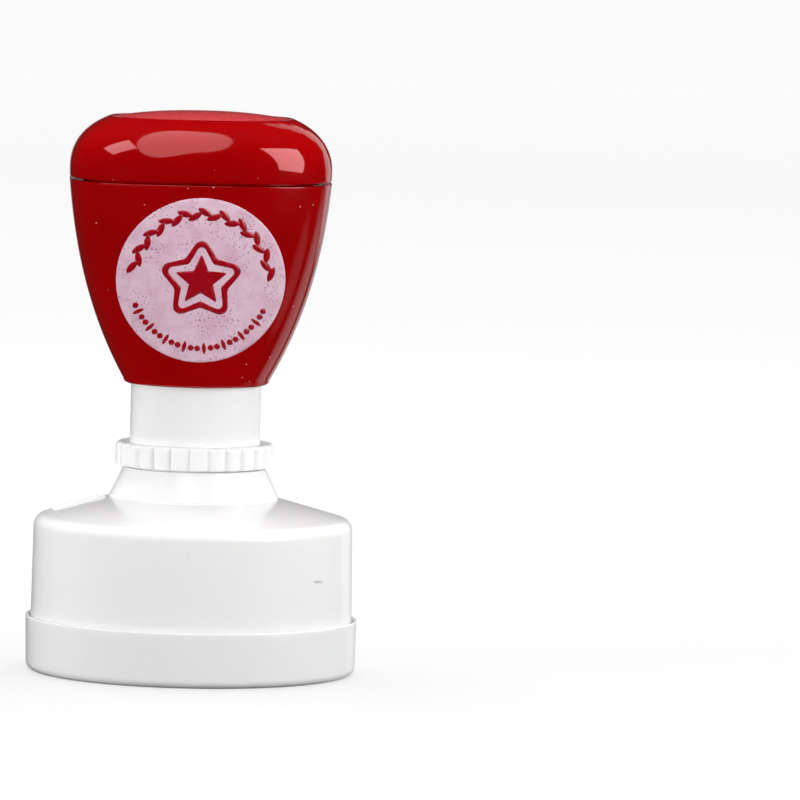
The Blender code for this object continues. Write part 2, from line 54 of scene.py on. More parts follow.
SHARP_ANGLE = math.radians(30)  # edges sharper than this are not smoothed

# Dust cover
COVER_RADIUS = 26.0
COVER_HEIGHT = 8.6
COVER_FLOOR = 1.2
COVER_EDGE = 1.3
COVER_DRAFT = 0.15
COVER_BORE = 25.1
COVER_LIP_BORE = 25.5
LEDGE_TOP = 2.2
LEDGE_RADIUS = 22.4
FOOT_RING_BORE = 21.2  # the recess under the cover lies between this and the centre boss
FOOT_RECESS = 0.12
FOOT_BOSS_RADIUS = 2.9
GATE_RADIUS = 1.4

# Outer housing
MOUTH_Z = LEDGE_TOP + GAP
SKIRT_RADIUS = 25.2
SKIRT_TOP_RADIUS = 25.0
SPIGOT_RADIUS = 24.8
SKIRT_WALL = 1.4
SHOULDER_SLOPE = 0.28
SHOULDER_FILLET = 2.0
CONE_BASE_RADIUS = 13.2
CONE_BASE_Z = 27.35
CONE_TOP_RADIUS = 11.1
CONE_TOP_Z = 32.2
GUIDE_RIBS = 3
GUIDE_RIB_RADIUS = 22.8
GUIDE_RIB_WIDTH = 1.6
GUIDE_RIB_HEIGHT = 17.5
GUIDE_RIB_MIDDLE_Z = 13.0
MARK_INNER, MARK_OUTER = 13.6, 22.2  # ends of the raised orientation mark, from the axis
MARK_WIDTH = 1.4
MARK_HEIGHT = 1.2
MARK_TURN = math.radians(176)
HOUSING_SCUFF = ((19.2, -16.1, 16.0), (3.4, 3.2, 0.6), math.radians(8))  # centre, reach, slant

# Neck sleeve, thread and ring
SLEEVE_RADIUS = 10.2
SLEEVE_BORE = 8.9
SLEEVE_BOTTOM = 25.0
SLEEVE_TOP = 57.0
SEAT_BORE = 6.0
SEAT_TOP = 26.8
THREAD_PITCH = 3.0
THREAD_DEPTH = 0.5
THREAD_CLEARANCE = 0.27
RING_BOTTOM = 32.5
RING_TOP = 36.1
RING_RADIUS = 12.45
RING_LOBES = 26
RING_LOBE_DEPTH = 0.55
RING_TURN = math.radians(8.4)

# Handle and cap
HANDLE_BOTTOM = 45.4
HANDLE_TOP = 77.3
HANDLE_HALF_WIDTH = 20.5
HANDLE_HALF_DEPTH = 17.2
HANDLE_FOOT_RADIUS = 11.1
WIDTH_TAPER = (0.30, 0.44, 0.26)
DEPTH_TAPER = (0.16, 0.84, 0.0)
HANDLE_WALL = 1.8
HANDLE_FOOT_FILLET = 0.6
GUIDE_BORE_TOP = 50.0
DECK_BOTTOM = 66.5
DECK_TOP = 68.5
DECK_RIBS = 4
DECK_RIB_REACH = 17.6
DECK_RIB_WIDTH = 1.4
DECK_RIB_HEIGHT = 3.0
BOSS_TOP = 69.5
BOSS_RADIUS = 4.6
PILOT_RADIUS = 1.6
WASHER_RADIUS = 3.8
WASHER_BORE = 1.7
WASHER_THICKNESS = 0.7
SCREW_HEAD_RADIUS = 3.0
SCREW_HEAD_HEIGHT = 2.0
SCREW_SHANK_RADIUS = 1.3
SCREW_LENGTH = 12.3
SCREW_SLOT = (3.3, 0.7, 2.0)
CAP_BOTTOM = 77.65
CAP_WIDEST_Z = 79.0
CAP_CROWN = 9.8
CAP_RISE_CURVE = 2.2
CAP_SIDE_CURVE = 3.0
CAP_TOP = 87.1
CAP_TONGUE_BOTTOM = 74.4
CAP_CEILING = 84.2
WINDOW_RECESS_Z = 85.95
WINDOW_HALF_WIDTH = 13.7
WINDOW_HALF_DEPTH = 9.95
WINDOW_TOP = 88.1

# Front label
LABEL_CENTRE_Z = 62.5
LABEL_RADIUS = 13.15
LABEL_TILT = math.radians(11)
LABEL_RAGGED = (172, 193)  # degrees of the rim where the print is ragged
WREATH_LEAVES = 21
WREATH_RADIUS = 10.6
WREATH_START, WREATH_STEP = 170, 8.2  # degrees
WREATH_STAGGER = 0.32  # leaves lie by turns this far outside and inside the wreath's line
WREATH_LEAN = 28  # degrees by which the leaves lean, by turns, either way
BEADS = 25
BEAD_RADIUS = 10.9
BEAD_START, BEAD_STEP = 203, 5.45  # degrees
RAYS = 10

# Die and spring
DIE_FACE = 11.3
DIE_RADIUS = 19.8
DIE_FLANGE_RADIUS = 21.3
DIE_FLANGE_Z = 12.4
DIE_TOP = 13.2
RELIEF = 0.3
DIE_RING_RADIUS = 22.5
DIE_RING_BORE = 21.9
DIE_RING_TOP = 17.0
DIE_RING_BOTTOM = 11.5
DIE_RING_LIP = 0.6
SPRING_RADIUS = 7.3
WIRE_RADIUS = 0.5
SPRING_TURNS = 8
SPRING_LOW = 28.6
SPRING_HIGH = 65.7

# Studio, in metres and in radiance
FLOOR_RADIUS = 30.0
FLOOR_Z = -0.00005
FLOOR_GLOW_REACH = 2.0  # distance from the stamp at which the glow is full
FLOOR_GLOW = [(0.06, 0.62), (0.20, 0.76), (0.50, 0.90), (1.0, 0.95)]  # share of it, strength
LIGHT_DISTANCE = 0.7
LIGHT_AIM_Z = 0.06
ROOM_LEVEL = 0.015
PANELS = [  # azimuth, elevation, angles off the middle where the glow is full and gone, level
    (147, 2, 11, 14, 0.8),
    (156, 14, 8, 10, 0.75),
    (158.5, 24, 6, 8, 0.7),
    (161, 33, 4, 5.5, 0.65),
    (163.5, 40, 2.5, 4, 0.6),
    (94, -25, 6, 14, 0.35),
    (132, -22, 8, 17, 0.6),
    (166, -14, 8, 14, 0.6),
    (180, -5, 4, 9, 0.5),
]
SOFTBOXES = [  # name, azimuth, elevation, roll, spreads in degrees, radiance, shape, what it lights
    ("key_left", -74, 54, -18, (26, 24), 4.4, "RECTANGLE", "gloss"),
    ("key_right", 61, 33.5, -15, (37, 54.5), 5.8, "RECTANGLE", "gloss"),
    ("top_disc", -21, 68.5, 14.5, (26.5, 69.5), 2.4, "ELLIPSE", "gloss"),
    ("body_left", -74, 30, 0, (30, 30), 2.2, "RECTANGLE", "body"),
    ("body_right", 61, 15, 0, (40, 40), 4.6, "RECTANGLE", "body"),
    ("body_top", 180, 80, 0, (45, 45), 3.0, "RECTANGLE", "body"),
    ("body_front", 0, 62, 0, (30, 30), 0.4, "RECTANGLE", "body"),
    ("back_left", -130, 60, 0, (35, 35), 3.6, "RECTANGLE", "body"),
    ("back_right", 130, 60, 0, (35, 35), 3.6, "RECTANGLE", "body"),
    ("fill_left", -52, 2, 0, (60, 7), 19.5, "RECTANGLE", "body"),
    ("fill_right", 65, 2, 0, (60, 7), 7.5, "RECTANGLE", "body"),
]

# Camera
CAMERA_AZIMUTH = math.radians(-1.5)
CAMERA_ELEVATION = math.radians(4.7)
CAMERA_ROLL = math.radians(1.25)
CAMERA_DISTANCE = 1400.0
SENSOR = 36.0
FOCAL_PX = 8928.0
FRAME_PX = 800
AIM_Z = 42.5
AIM_PX = (-204.2, -1.2)  # where the aim point lies from the middle of the frame


# ---------------------------------------------------------------- shaders


def added(tree, kind, **properties):
    made = tree.nodes.new(kind)
    for key, value in properties.items():
        setattr(made, key, value)
    return made


class Shader:
    """A Principled material with small helpers for its node tree."""

    def __init__(self, name, **settings):
        self.material = bpy.data.materials.new(name)
        self.material.use_nodes = True
        self.tree = self.material.node_tree
        self.principled = self.tree.nodes["Principled BSDF"]
        self.coords = self.node("ShaderNodeTexCoord").outputs["Object"]
        for socket, value in settings.items():
            self.principled.inputs[socket.replace("_", " ")].default_value = value

    def node(self, kind, **properties):
        return added(self.tree, kind, **properties)

    def link(self, source, target):
        self.tree.links.new(source, target)

    def noise(self, scale, detail=4.0, rough=0.5, stretch=None, distortion=0.0):
        """Noise on the object's own coordinates. The scale is in cycles per metre."""
        made = self.node("ShaderNodeTexNoise")
        made.inputs["Scale"].default_value = scale
        made.inputs["Detail"].default_value = detail
        made.inputs["Roughness"].default_value = rough
        made.inputs["Distortion"].default_value = distortion
        self.link(self.stretched(stretch), made.inputs["Vector"])
        return made.outputs["Fac"]

    def stretched(self, stretch):
        if not stretch:
            return self.coords
        mapping = self.node("ShaderNodeMapping")
        mapping.inputs["Scale"].default_value = stretch
        self.link(self.coords, mapping.inputs["Vector"])
        return mapping.outputs["Vector"]

    def specks(self, scale, size):
        """1 inside small scattered dots, and 0 elsewhere."""
        cells = self.node("ShaderNodeTexVoronoi")
        cells.inputs["Scale"].default_value = scale
        self.link(self.coords, cells.inputs["Vector"])
        return self.ramp(cells.outputs["Distance"], [(size, 1.0), (size * 1.5, 0.0)])

    def ramp(self, source, stops):
        """A colour ramp through (position, grey level or colour) stops."""
        made = self.node("ShaderNodeValToRGB")
        elements = made.color_ramp.elements
        while len(elements) < len(stops):
            elements.new(0.5)
        for element, (position, value) in zip(elements, stops):
            element.position = position
            colour = value if isinstance(value, tuple) else (value, value, value)
            element.color = (*colour, 1.0)
        self.link(source, made.inputs["Fac"])
        return made.outputs["Color"]

    def math(self, operation, *values):
        made = self.node("ShaderNodeMath", operation=operation)
        for socket, value in zip(made.inputs, values):
            if isinstance(value, (int, float)):
                socket.default_value = value
            else:
                self.link(value, socket)
        return made.outputs["Value"]

    def mix(self, amount, first, second):
        made = self.node("ShaderNodeMix", data_type="RGBA")
        for socket, value in zip((0, 6, 7), (amount, first, second)):
            if isinstance(value, tuple):
                made.inputs[socket].default_value = (*value, 1.0)
            elif isinstance(value, (int, float)):
                made.inputs[socket].default_value = value
            else:
                self.link(value, made.inputs[socket])
        return made.outputs[2]

    def bump(self, height, strength, distance, after=None):
        made = self.node("ShaderNodeBump")
        made.inputs["Strength"].default_value = strength
        made.inputs["Distance"].default_value = distance * MM
        self.link(height, made.inputs["Height"])
        if after:
            self.link(after, made.inputs["Normal"])
        return made.outputs["Normal"]

    def paint(self, **sources):
        """Links outputs to the shader's sockets and gives the material."""
        for socket, source in sources.items():
            self.link(source, self.principled.inputs[socket.replace("_", " ")])
        return self.material


def white_plastic(name, level, roughness, scuff=None):
    """White plastic of one grey level: faint mottling, drag marks down the draw, and dust specks."""
    made = Shader(
        name,
        Subsurface_Weight=0.25,
        Subsurface_Radius=(1.0, 0.9, 0.8),
        Subsurface_Scale=1.2 * MM,
        IOR=1.42,
    )
    mottle = made.noise(60, 2)
    colour = made.ramp(mottle, [(0.2, level * 0.985), (0.8, level)])
    grime = made.ramp(made.noise(2400, 2), [(0.72, 0.0), (0.80, 0.35)])
    colour = made.mix(grime, colour, (level * 0.8,) * 3)
    dust = made.specks(260, 0.022)
    colour = made.mix(made.math("MULTIPLY", dust, 0.45), colour, (0.42, 0.41, 0.40))
    if scuff:
        centre, size, slant = scuff
        place = made.node("ShaderNodeMapping", vector_type="TEXTURE")
        place.inputs["Location"].default_value = [c * MM for c in centre]
        place.inputs["Rotation"].default_value = (0, slant, 0)
        place.inputs["Scale"].default_value = [s * MM for s in size]
        made.link(made.coords, place.inputs["Vector"])
        reach = made.node("ShaderNodeVectorMath", operation="LENGTH")
        made.link(place.outputs["Vector"], reach.inputs[0])
        ragged = made.math("ADD", reach.outputs["Value"], made.noise(1500, 3))
        mark = made.ramp(ragged, [(0.6, 0.6), (1.1, 0.0)])
        colour = made.mix(mark, colour, (0.25, 0.24, 0.23))
    streaks = made.noise(900, 3, stretch=(1, 1, 0.06))
    smear = made.ramp(made.noise(60, 4), [(0.35, roughness * 0.8), (0.7, roughness * 1.15)])
    normal = made.bump(made.noise(420, 2), 0.12, 0.12)
    normal = made.bump(streaks, 0.10, 0.03, normal)
    return made.paint(Base_Color=colour, Roughness=smear, Normal=normal)


def red_plastic(name, polish):
    """Deep red plastic: slight ripple, hairline scratches and dust. Polish is the lowest roughness."""
    made = Shader(name, IOR=1.65, Specular_Tint=(1.0, 0.5, 0.5, 1))
    depth = made.noise(70, 3)
    colour = made.ramp(depth, [(0.3, (0.285, 0.0002, 0.0008)), (0.7, (0.345, 0.0003, 0.0011))])
    dust = made.specks(400, 0.034)
    colour = made.mix(made.math("MULTIPLY", dust, 0.8), colour, (0.85, 0.55, 0.52))
    hairlines = made.noise(700, 6, 0.7, stretch=(1, 1, 0.08))
    scratches = made.ramp(hairlines, [(0.62, 0.0), (0.66, 1.0)])
    rough = made.ramp(made.noise(90, 5), [(0.35, polish), (0.75, polish * 1.4)])
    rough = made.mix(made.math("MULTIPLY", scratches, 0.10), rough, (0.5, 0.5, 0.5))
    normal = made.bump(made.noise(95, 2), 0.06, 0.15)
    normal = made.bump(made.noise(3500, 2), polish, 0.012, normal)
    return made.paint(Base_Color=colour, Roughness=rough, Normal=normal)


def label_ink():
    """Pale screen-printed ink, with rows of pinholes where the red shows through."""
    made = Shader("label_ink", Roughness=0.5, IOR=1.4)
    cloud = made.noise(330, 4, 0.6)
    tones = [(0.3, (0.66, 0.41, 0.52)), (0.55, (0.74, 0.52, 0.62)), (0.8, (0.80, 0.60, 0.69))]
    pale = made.ramp(cloud, tones)
    dots = made.specks(2200, 0.2)
    patches = made.ramp(made.noise(240, 2), [(0.46, 0.0), (0.56, 1.0)])
    holes = made.math("MULTIPLY", dots, patches)
    colour = made.mix(made.math("MULTIPLY", holes, 0.75), pale, (0.22, 0.02, 0.05))
    weave = made.noise(5200, 1)
    normal = made.bump(weave, 0.25, 0.02)
    normal = made.bump(holes, -0.4, 0.03, normal)
    return made.paint(Base_Color=colour, Normal=normal)


def print_red():
    """Marks left open in the pale ink, where the red plastic shows."""
    made = Shader("print_red", IOR=1.46)
    edge = made.noise(2600, 3)
    colour = made.ramp(edge, [(0.3, (0.30, 0.002, 0.008)), (0.7, (0.38, 0.003, 0.011))])
    rough = made.ramp(made.noise(700, 3), [(0.3, 0.18), (0.7, 0.3)])
    return made.paint(Base_Color=colour, Roughness=rough)


def card_paper():
    made = Shader("card_paper", IOR=1.4)
    fibres = made.noise(3000, 5, 0.7)
    colour = made.ramp(fibres, [(0.3, (0.62, 0.04, 0.042)), (0.7, (0.70, 0.055, 0.058))])
    return made.paint(Base_Color=colour, Roughness=made.ramp(fibres, [(0, 0.5), (1, 0.65)]))


def clear_plastic():
    """Thin clear moulding: nearly see-through face on, and glossier towards its edges."""
    made = Shader("clear_window", Base_Color=(0.60, 0.06, 0.065, 1), IOR=1.49)
    hairlines = made.noise(1300, 6, 0.75, stretch=(1, 0.15, 1))
    scratches = made.ramp(hairlines, [(0.64, 0.0), (0.68, 1.0)])
    rough = made.ramp(scratches, [(0.0, 0.02), (1.0, 0.2)])
    normal = made.bump(made.noise(150, 2), 0.06, 0.15)
    normal = made.bump(scratches, 0.05, 0.01, normal)
    edge_on = made.node("ShaderNodeLayerWeight")
    edge_on.inputs["Blend"].default_value = 0.5
    cover = made.ramp(edge_on.outputs["Facing"], [(0.35, 0.10), (0.85, 0.90)])
    return made.paint(Roughness=rough, Normal=normal, Alpha=cover)


def die_rubber():
    """Microporous rubber, damp with red ink."""
    made = Shader("inked_rubber", IOR=1.45, Sheen_Weight=0.05)
    pores = made.noise(5200, 3, 0.7)
    colour = made.ramp(pores, [(0.3, (0.30, 0.012, 0.035)), (0.7, (0.62, 0.045, 0.09))])
    rough = made.ramp(made.noise(700, 3), [(0.3, 0.35), (0.7, 0.7)])
    return made.paint(Base_Color=colour, Roughness=rough, Normal=made.bump(pores, 0.5, 0.06))


def ink_felt():
    made = Shader("ink_felt_skin", Roughness=0.85, Sheen_Weight=0.3)
    fibres = made.noise(2600, 6, 0.75, distortion=1.5)
    colour = made.ramp(fibres, [(0.3, (0.14, 0.004, 0.012)), (0.7, (0.34, 0.012, 0.03))])
    return made.paint(Base_Color=colour, Normal=made.bump(fibres, 0.9, 0.25))


def spring_steel():
    """Bright drawn steel with fine draw lines and a trace of oil."""
    made = Shader("spring_steel_skin", Metallic=1.0)
    lines = made.noise(1800, 5, 0.6, stretch=(1, 1, 0.2))
    colour = made.ramp(lines, [(0.3, (0.50, 0.50, 0.52)), (0.7, (0.66, 0.66, 0.67))])
    rough = made.ramp(made.noise(500, 4), [(0.3, 0.16), (0.7, 0.34)])
    return made.paint(Base_Color=colour, Roughness=rough, Normal=made.bump(lines, 0.15, 0.02))


# ---------------------------------------------------------------- shapes


def rounded(corners, steps=4):
    """Profile points through corners (a, z) or (a, z, fillet radius)."""
    points = []
    for i, corner in enumerate(corners):
        here = Vector(corner[:2])
        radius = corner[2] if len(corner) > 2 else 0
        if not radius or i in (0, len(corners) - 1):
            points.append(tuple(here))
            continue
        before = Vector(corners[i - 1][:2]) - here
        after = Vector(corners[i + 1][:2]) - here
        half = before.angle(after) / 2
        reach = min(radius / math.tan(half), before.length * 0.49, after.length * 0.49)
        start, end = here + before.normalized() * reach, here + after.normalized() * reach
        inward = (before.normalized() + after.normalized()).normalized()
        centre = here + inward * reach / math.cos(half)
        sweep = (start - centre).angle_signed(end - centre)
        for k in range(steps + 1):
            spoke = (start - centre).copy()
            spoke.rotate(Matrix.Rotation(-sweep * k / steps, 2))
            points.append(tuple(centre + spoke))
    return points


def split(start, end, count):
    """Evenly spaced points from start to end, without the end."""
    return [tuple(s + (e - s) * k / count for s, e in zip(start, end)) for k in range(count)]


def circle(radius):
    return lambda angle: radius


def oval(half_width, half_depth, exponent=2.0):
    """Radius at an angle of an oval, squarer with a larger exponent."""

    def radius_at(angle):
        across = abs(math.cos(angle) / half_width) ** exponent
        along = abs(math.sin(angle) / half_depth) ** exponent
        return (across + along) ** (-1 / exponent)

    return radius_at


def arc(centre_r, centre_z, radius, start, end, steps):
    """Profile points round a quarter or so of a circle, between angles in degrees."""
    angles = [math.radians(start + (end - start) * i / steps) for i in range(steps + 1)]
    return [(centre_r + radius * math.cos(a), centre_z + radius * math.sin(a)) for a in angles]


def object_of(name, form, finish, sharp=SHARP_ANGLE):
    mesh = bpy.data.meshes.new(name)
    form.to_mesh(mesh)
    form.free()
    mesh.materials.append(finish)
    mesh.shade_smooth()
    mesh.set_sharp_from_angle(angle=sharp)
    obj = bpy.data.objects.new(name, mesh)
    bpy.context.scene.collection.objects.link(obj)
    return obj


def skin(name, levels, finish, closed=True, segments=192, turn=0.0):
    """A surface through rings of points. A level is (radius of an angle, height).

    A closed skin joins its last ring to its first. An open one ends in flat caps.
    """
    form = bmesh.new()
    rings = []
    for radius_at, z in levels:
        ring = []
        for i in range(segments):
            angle = math.tau * i / segments
            r = radius_at(angle)
            place = (r * math.cos(angle + turn), r * math.sin(angle + turn), z)
            ring.append(form.verts.new(Vector(place) * MM))
        rings.append(ring)
    pairs = list(zip(rings, rings[1:]))
    if closed:
        pairs.append((rings[-1], rings[0]))
    for upper, lower in pairs:
        for i in range(segments):
            j = (i + 1) % segments
            form.faces.new((upper[i], lower[i], lower[j], upper[j]))
    if not closed:
        form.faces.new(rings[0])
        form.faces.new(reversed(rings[-1]))
    return object_of(name, form, finish)


def turned(name, profile, finish, closed=True, segments=192):
    """A body of revolution through (radius, height) points."""
    return skin(name, [(circle(r), z) for r, z in profile], finish, closed, segments)


def cut_or_join(obj, other, operation):
    """Applies a Boolean with a helper object, and removes the helper."""
    step = obj.modifiers.new(operation, "BOOLEAN")
    step.operation = operation
    step.object = other
    bpy.context.view_layer.update()
    graph = bpy.context.evaluated_depsgraph_get()
    made = bpy.data.meshes.new_from_object(obj.evaluated_get(graph))
    obj.modifiers.clear()
    obj.data = made
    bpy.data.objects.remove(other)
    obj.data.shade_smooth()
    obj.data.set_sharp_from_angle(angle=SHARP_ANGLE)


def rounded_box(name, size, centre, finish, turn, tilt=0.0, edge=0.15):
    """A box with rounded edges, tilted about Y, moved out to its centre, then turned about Z."""
    form = bmesh.new()
    bmesh.ops.create_cube(form, size=1.0)
    bmesh.ops.scale(form, vec=Vector(size) * MM, verts=form.verts)
    edges = form.edges[:]
    bmesh.ops.bevel(form, geom=edges, offset=edge * MM, segments=3, profile=0.5, affect="EDGES")
    bmesh.ops.rotate(form, matrix=Matrix.Rotation(tilt, 3, "Y"), verts=form.verts)
    bmesh.ops.translate(form, vec=Vector(centre) * MM, verts=form.verts)
    bmesh.ops.rotate(form, matrix=Matrix.Rotation(turn, 3, "Z"), verts=form.verts)
    return object_of(name, form, finish)


def place(obj, body, slot, *nodes):
    """Puts a skin on its body, and hides the CAD nodes that it stands for. The slot is not used."""
    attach(obj, body)
    if nodes:
        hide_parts(*nodes)
    return obj


# ---------------------------------------------------------------- flat marks


def rounded_polygon(corners, radius, steps=4):
    """A closed outline with filleted corners."""
    count = len(corners)
    outline = []
    for i in range(count):
        trio = [corners[i - 1], (*corners[i], radius), corners[(i + 1) % count]]
        outline += rounded(trio, steps)[1:-1]
    return outline


def star(outer, waist, fillet):
    corners = []
    for i in range(10):
        radius = waist if i % 2 else outer
        angle = math.pi / 2 + math.tau * i / 10
        corners.append((radius * math.cos(angle), radius * math.sin(angle)))
    return rounded_polygon(corners, fillet)


def leaf(length, width, centre, angle):
    """A pointed oval, long axis at the given angle."""
    outline = []
    for i in range(20):
        t = math.tau * i / 20
        along = length / 2 * math.cos(t)
        across = width / 2 * math.sin(t) * abs(math.sin(t)) ** 0.35
        u = along * math.cos(angle) - across * math.sin(angle)
        v = along * math.sin(angle) + across * math.cos(angle)
        outline.append((centre[0] + u, centre[1] + v))
    return outline


def rays(half_width, half_depth, length, width):
    """Leaves round an oval, between the corners of a star in its middle."""
    marks = []
    for i in range(RAYS):
        angle = math.pi / 2 + math.tau * (i + 0.5) / RAYS
        spot = (half_width * math.cos(angle), half_depth * math.sin(angle))
        marks.append(leaf(length, width, spot, angle))
    return marks


def polar(radius, degrees):
    angle = math.radians(degrees)
    return radius * math.cos(angle), radius * math.sin(angle)


def flat_at(height):
    return lambda u, v: Vector((u, v, height))


def plate(name, outlines, place_at, thickness, finish, longest=0.7):
    """Flat outlines laid on a surface as one thin solid. A pair of outlines makes a band.

    No edge is longer than `longest`, so that the solid can follow a curved surface.
    """
    form = bmesh.new()
    for outline in outlines:
        if isinstance(outline, tuple):
            outer, inner = ([form.verts.new((u, v, 0)) for u, v in loop] for loop in outline)
            for i in range(len(outer)):
                j = (i + 1) % len(outer)
                form.faces.new((outer[i], outer[j], inner[j], inner[i]))
        else:
            form.faces.new([form.verts.new((u, v, 0)) for u, v in outline])
    bmesh.ops.triangulate(form, faces=form.faces[:])
    for _ in range(6):
        long_edges = [e for e in form.edges if e.calc_length() > longest]
        if not long_edges:
            break
        bmesh.ops.subdivide_edges(form, edges=long_edges, cuts=1)
        bmesh.ops.triangulate(form, faces=[f for f in form.faces if len(f.verts) > 3])
    bmesh.ops.recalc_face_normals(form, faces=form.faces[:])
    for face in form.faces:
        if face.normal.z < 0:
            face.normal_flip()
    for vertex in form.verts:
        vertex.co = place_at(vertex.co.x, vertex.co.y) * MM
    obj = object_of(name, form, finish)
    solid = obj.modifiers.new("Thickness", "SOLIDIFY")
    solid.thickness = thickness * MM
    solid.offset = -1.0
    return obj


# ---------------------------------------------------------------- dust cover and housing


def make_dust_cover():
    """Shallow cup with a ledge inside, a thinner lip, and a foot ring and a gate mark below."""
    foot = COVER_RADIUS - COVER_DRAFT
    lip_foot = (COVER_RADIUS - 0.01, COVER_HEIGHT - 0.8)
    outer = rounded(
        [
            (24.0, LEDGE_TOP),
            (COVER_BORE, LEDGE_TOP, 0.3),
            (COVER_BORE, COVER_HEIGHT - 1.4, 0.3),
            (COVER_LIP_BORE, COVER_HEIGHT - 0.7, 0.3),
            (COVER_LIP_BORE, COVER_HEIGHT, 0.12),
            (COVER_RADIUS, COVER_HEIGHT, 0.16),
            lip_foot,
        ]
    )
    walls = split(lip_foot, (foot, COVER_EDGE), 8)
    foot_edge = arc(foot - COVER_EDGE, COVER_EDGE, COVER_EDGE, 0, -90, 12)
    under = rounded(
        [
            (foot - COVER_EDGE - 0.1, 0),
            (FOOT_RING_BORE, 0, 0.1),
            (FOOT_RING_BORE - 0.3, FOOT_RECESS, 0.1),
            (FOOT_BOSS_RADIUS + 0.3, FOOT_RECESS, 0.1),
            (FOOT_BOSS_RADIUS, 0, 0.1),
            (GATE_RADIUS, 0, 0.1),
            (GATE_RADIUS - 0.2, 0.2),
        ]
    )
    inside = rounded(
        [
            (1.0, COVER_FLOOR + 0.05),
            (1.4, COVER_FLOOR),
            (LEDGE_RADIUS, COVER_FLOOR, 0.25),
            (LEDGE_RADIUS, LEDGE_TOP, 0.15),
            (23.9, LEDGE_TOP),
        ]
    )
    profile = inside + outer + walls[1:] + foot_edge + under
    cover = turned("dust_cover_skin", profile, cover_white, closed=False)
    place(cover, "dust_cover", "cover_white", "dust_cover")


def shoulder_z(radius):
    return CONE_BASE_Z - SHOULDER_SLOPE * (radius - CONE_BASE_RADIUS - 0.3)


def thread_levels(crest, top, bottom, step=0.25):
    count = round((top - bottom) / step)
    levels = []
    for i in range(count + 1):
        z = top + (bottom - top) * i / count

        def radius_at(angle, z=z):
            phase = math.tau * z / THREAD_PITCH - angle
            return crest - THREAD_DEPTH * (0.5 - 0.5 * math.cos(phase))

        levels.append((radius_at, z))
    return levels


def make_outer_housing():
    """Bell with a cone on top that is threaded inside, guide ribs, and an orientation mark."""
    roof_drop = SKIRT_WALL * math.hypot(1, SHOULDER_SLOPE)
    bore = SLEEVE_RADIUS + THREAD_CLEARANCE
    inside = SKIRT_TOP_RADIUS - SKIRT_WALL - 0.1
    shoulder_start = (CONE_BASE_RADIUS + 0.3, shoulder_z(CONE_BASE_RADIUS + 0.3))
    outer = rounded(
        [
            (bore + 0.05, CONE_TOP_Z - 0.15),
            (bore + 0.2, CONE_TOP_Z),
            (CONE_TOP_RADIUS, CONE_TOP_Z, 0.15),
            (CONE_BASE_RADIUS, CONE_BASE_Z + 0.4, 0.15),
            (CONE_BASE_RADIUS, CONE_BASE_Z - 0.02, 0.12),
            shoulder_start,
            (SKIRT_TOP_RADIUS, shoulder_z(SKIRT_TOP_RADIUS), SHOULDER_FILLET),
            (SKIRT_RADIUS, COVER_HEIGHT - 0.2, 0.1),
            (SPIGOT_RADIUS, COVER_HEIGHT - 0.9, 0.1),
            (SPIGOT_RADIUS, MOUTH_Z, 0.25),
            (inside + 0.1, MOUTH_Z, 0.2),
            (inside, 12.0),
            (inside, shoulder_z(inside) - roof_drop, 0.8),
            (bore + 0.9, shoulder_z(bore + 0.9) - roof_drop, 0.4),
        ],
        steps=8,
    )
    levels = [(circle(r), z) for r, z in outer]
    levels.append((circle(bore + 0.4), 26.4))
    levels += reversed(thread_levels(bore, 30.6, 26.6))
    levels.append((circle(bore + 0.05), 31.1))
    housing = skin("outer_housing_skin", levels, housing_white, segments=240)
    rib_end = inside + 0.5
    for i in range(GUIDE_RIBS):
        size = (rib_end - GUIDE_RIB_RADIUS, GUIDE_RIB_WIDTH, GUIDE_RIB_HEIGHT)
        centre = ((GUIDE_RIB_RADIUS + rib_end) / 2, 0, GUIDE_RIB_MIDDLE_Z)
        turn = math.radians(90) + math.tau * i / GUIDE_RIBS
        rib = rounded_box(f"rib_{i}", size, centre, housing_white, turn, edge=0.15)
        cut_or_join(housing, rib, "UNION")
    middle = (MARK_INNER + MARK_OUTER) / 2
    mark = rounded_box(
        "orientation_mark",
        (MARK_OUTER - MARK_INNER, MARK_WIDTH, MARK_HEIGHT),
        (middle, 0, shoulder_z(middle) - 0.2),
        housing_white,
        MARK_TURN,
        math.atan(SHOULDER_SLOPE),
        edge=0.35,
    )
    cut_or_join(housing, mark, "UNION")
    place(housing, "housing", "white_plastic", "outer_housing")


# ---------------------------------------------------------------- neck sleeve and ring


def make_neck_sleeve():
    """Plain tube with a threaded foot and a seat for the spring washer."""
    outer = rounded(
        [
            (SLEEVE_BORE + 0.1, SLEEVE_TOP - 0.2),
            (SLEEVE_BORE + 0.3, SLEEVE_TOP, 0.15),
            (SLEEVE_RADIUS, SLEEVE_TOP, 0.4),
            (SLEEVE_RADIUS, 50.0),
            (SLEEVE_RADIUS, 40.0),
            (SLEEVE_RADIUS, 31.9),
        ]
    )
    levels = [(circle(r), z) for r, z in outer]
    levels += thread_levels(SLEEVE_RADIUS, 31.4, SLEEVE_BOTTOM + 0.4)
    inner = rounded(
        [
            (SLEEVE_RADIUS - THREAD_DEPTH - 0.1, SLEEVE_BOTTOM),
            (SEAT_BORE, SLEEVE_BOTTOM, 0.2),
            (SEAT_BORE, SEAT_TOP, 0.2),
            (SLEEVE_BORE, SEAT_TOP, 0.3),
            (SLEEVE_BORE, SLEEVE_TOP - 0.4),
        ]
    )
    levels += [(circle(r), z) for r, z in inner]
    place(skin("neck_sleeve_skin", levels, neck_white), "adjuster", "white_plastic", "neck_sleeve")


def lobed(radius, depth):
    """Radius at an angle of a ring with rounded lobes and narrow grooves between them."""

    def radius_at(angle):
        wave = abs(math.cos(RING_LOBES * angle / 2))
        return radius - depth * (1 - wave) ** 1.4

    return radius_at


